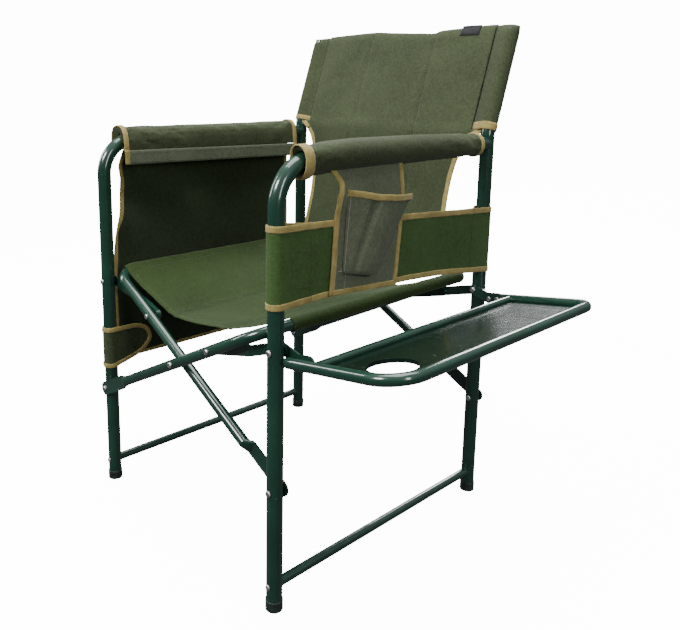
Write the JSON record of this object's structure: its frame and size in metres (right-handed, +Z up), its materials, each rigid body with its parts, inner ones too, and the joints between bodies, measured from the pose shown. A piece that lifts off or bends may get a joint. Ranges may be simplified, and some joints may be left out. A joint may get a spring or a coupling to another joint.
{
  "type": "folding camp chair",
  "caption": "Folding tubular camp chair with canvas seat, back and sides, padded arms, a side bottle pocket and a flip-up side tray with a cup hole.",
  "frame": {"origin": "on the floor, in the middle of the four legs", "axes": "+Z up, the front of the chair faces -Y, +X towards the side with the tray"},
  "size_m": [0.7418, 0.6033, 0.8894],
  "materials": {
    "frame_paint": "gloss dark green powder coat",
    "zinc": "bright zinc plated",
    "tray_paint": "gloss near-black green stoved enamel",
    "cap_plastic": "dark green-black moulded plastic",
    "cloth": "coarse plain-weave canvas, olive grey-green, beige bound edges",
    "cloth_seat": "coarse plain-weave canvas, olive green",
    "label": "plain black woven tag"
  },
  "bodies": {
    "left_frame": {"left_side_tube": "frame_paint", "left_back_post": "frame_paint", "left_stretcher": "frame_paint", "left_stretcher_inserts": "cap_plastic", "left_stretcher_rivets": "zinc", "left_foot_caps": "cap_plastic", "left_post_cap": "cap_plastic", "left_arm_insert": "cap_plastic", "left_arm_screw": "zinc", "left_pivot_bolts": "zinc", "left_link_bolts": "zinc", "back_cover": "cloth", "back_panel": "cloth", "label_tag": "label", "left_arm_cover": "cloth", "left_side_panel": "cloth", "left_leg_tab": "cloth"},
    "seat_frame_b": {"seat_frame_b_tube": "frame_paint", "seat_frame_b_rivets": "zinc", "centre_bolts": "zinc", "centre_washers": "zinc"},
    "seat_frame_a": {"seat_frame_a_tube": "frame_paint", "seat_frame_a_rivets": "zinc", "seat": "cloth_seat"},
    "right_frame": {"right_side_tube": "frame_paint", "right_back_post": "frame_paint", "right_stretcher": "frame_paint", "right_stretcher_inserts": "cap_plastic", "right_stretcher_rivets": "zinc", "right_foot_caps": "cap_plastic", "right_post_cap": "cap_plastic", "right_arm_insert": "cap_plastic", "right_arm_screw": "zinc", "right_pivot_bolts": "zinc", "right_link_bolts": "zinc", "right_arm_pad": "cloth", "right_side_band": "cloth", "right_side_panel": "cloth", "bottle_pocket": "cloth"},
    "link_front_left": {"front_left_link": "frame_paint", "front_left_link_rivet": "zinc"},
    "link_rear_left": {"rear_left_link": "frame_paint", "rear_left_link_rivet": "zinc"},
    "link_front_right": {"front_right_link": "frame_paint", "front_right_link_rivet": "zinc"},
    "link_rear_right": {"rear_right_link": "frame_paint", "rear_right_link_rivet": "zinc"},
    "tray": {"tray_tube": "frame_paint", "tray_end_plugs": "cap_plastic", "tray_rim": "frame_paint", "tray_sheet": "tray_paint", "tray_front_bracket": "frame_paint", "tray_rear_bracket": "frame_paint", "tray_rivets": "zinc"}
  },
  "joints": [
    {"name": "seat_fold", "type": "hinge", "parent": "left_frame", "child": "seat_frame_b", "pos_m": [-0.245, 0, 0.194], "axis": [0, -1, 0], "range_deg": [0, 31.5], "deforming": ["seat", "back_cover", "back_panel", "label_tag"]},
    {"name": "frames_cross", "type": "hinge", "parent": "seat_frame_b", "child": "seat_frame_a", "pos_m": [0, 0, 0.3195], "axis": [0, -1, 0], "range_deg": [-63, 0]},
    {"name": "right_side_pivot", "type": "hinge", "parent": "seat_frame_a", "child": "right_frame", "pos_m": [0.245, 0, 0.194], "axis": [0, -1, 0], "range_deg": [0, 31.5]},
    {"name": "link_front_left_pivot", "type": "hinge", "parent": "left_frame", "child": "link_front_left", "pos_m": [-0.245, 0, 0.41], "axis": [0, -1, 0], "range_deg": [0, 70.38]},
    {"name": "link_rear_left_pivot", "type": "hinge", "parent": "left_frame", "child": "link_rear_left", "pos_m": [-0.245, 0, 0.41], "axis": [0, -1, 0], "range_deg": [0, 70.38]},
    {"name": "link_front_right_pivot", "type": "hinge", "parent": "right_frame", "child": "link_front_right", "pos_m": [0.245, 0, 0.41], "axis": [0, -1, 0], "range_deg": [-70.38, 0]},
    {"name": "link_rear_right_pivot", "type": "hinge", "parent": "right_frame", "child": "link_rear_right", "pos_m": [0.245, 0, 0.41], "axis": [0, -1, 0], "range_deg": [-70.38, 0]},
    {"name": "tray_fold", "type": "hinge", "parent": "right_frame", "child": "tray", "pos_m": [0.245, 0, 0.41], "axis": [0, -1, 0], "range_deg": [0, 60]}
  ],
  "couplings": [
    {"joint": "frames_cross", "follows": "seat_fold", "ratio": -2},
    {"joint": "right_side_pivot", "follows": "seat_fold", "ratio": 1},
    {"joint": "link_front_left_pivot", "follows": "seat_fold", "ratio": 2.2327},
    {"joint": "link_rear_left_pivot", "follows": "seat_fold", "ratio": 2.2327},
    {"joint": "link_front_right_pivot", "follows": "seat_fold", "ratio": -2.2327},
    {"joint": "link_rear_right_pivot", "follows": "seat_fold", "ratio": -2.2327}
  ]
}
